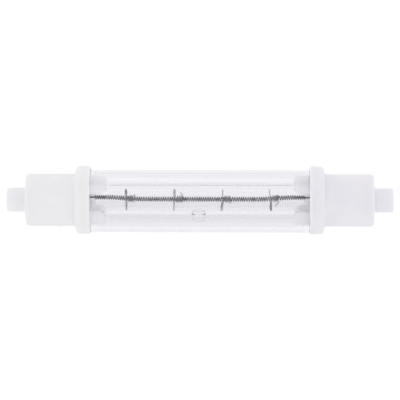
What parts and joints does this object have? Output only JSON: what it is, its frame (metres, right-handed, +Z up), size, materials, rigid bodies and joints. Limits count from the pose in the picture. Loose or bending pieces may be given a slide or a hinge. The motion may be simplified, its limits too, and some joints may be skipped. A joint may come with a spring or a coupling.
{
  "type": "infrared heat lamp",
  "caption": "Double-ended tubular infrared heat lamp: a coiled filament in a sealed quartz tube, inside an outer glass jacket held between white ceramic end caps with recessed contacts.",
  "frame": {"origin": "middle of the lamp's length, on the axis of its two end caps", "axes": "+X along the lamp towards its right end, +Y away from the viewer, +Z up"},
  "size_m": [0.1176, 0.0208, 0.0206],
  "materials": {
    "quartz_glass": "clear, drawn smooth",
    "ceramic": "fine matt white, unglazed",
    "tungsten": "dark grey drawn wire",
    "molybdenum": "grey drawn wire and rolled foil",
    "nickel": "satin nickel plate",
    "cement": "rough, off-white, set in place"
  },
  "bodies": {
    "root": {"outer_jacket": "quartz_glass", "lamp_envelope": "quartz_glass", "filament": "tungsten", "filament_support_1": "tungsten", "filament_support_2": "tungsten", "filament_support_3": "tungsten", "filament_support_4": "tungsten", "left_end_cap": "ceramic", "right_end_cap": "ceramic", "left_pinch_cement": "cement", "right_pinch_cement": "cement", "left_inner_lead": "tungsten", "right_inner_lead": "tungsten", "left_seal_foil": "molybdenum", "right_seal_foil": "molybdenum", "left_outer_lead": "molybdenum", "right_outer_lead": "molybdenum", "left_contact": "nickel", "right_contact": "nickel"}
  },
  "joints": []
}
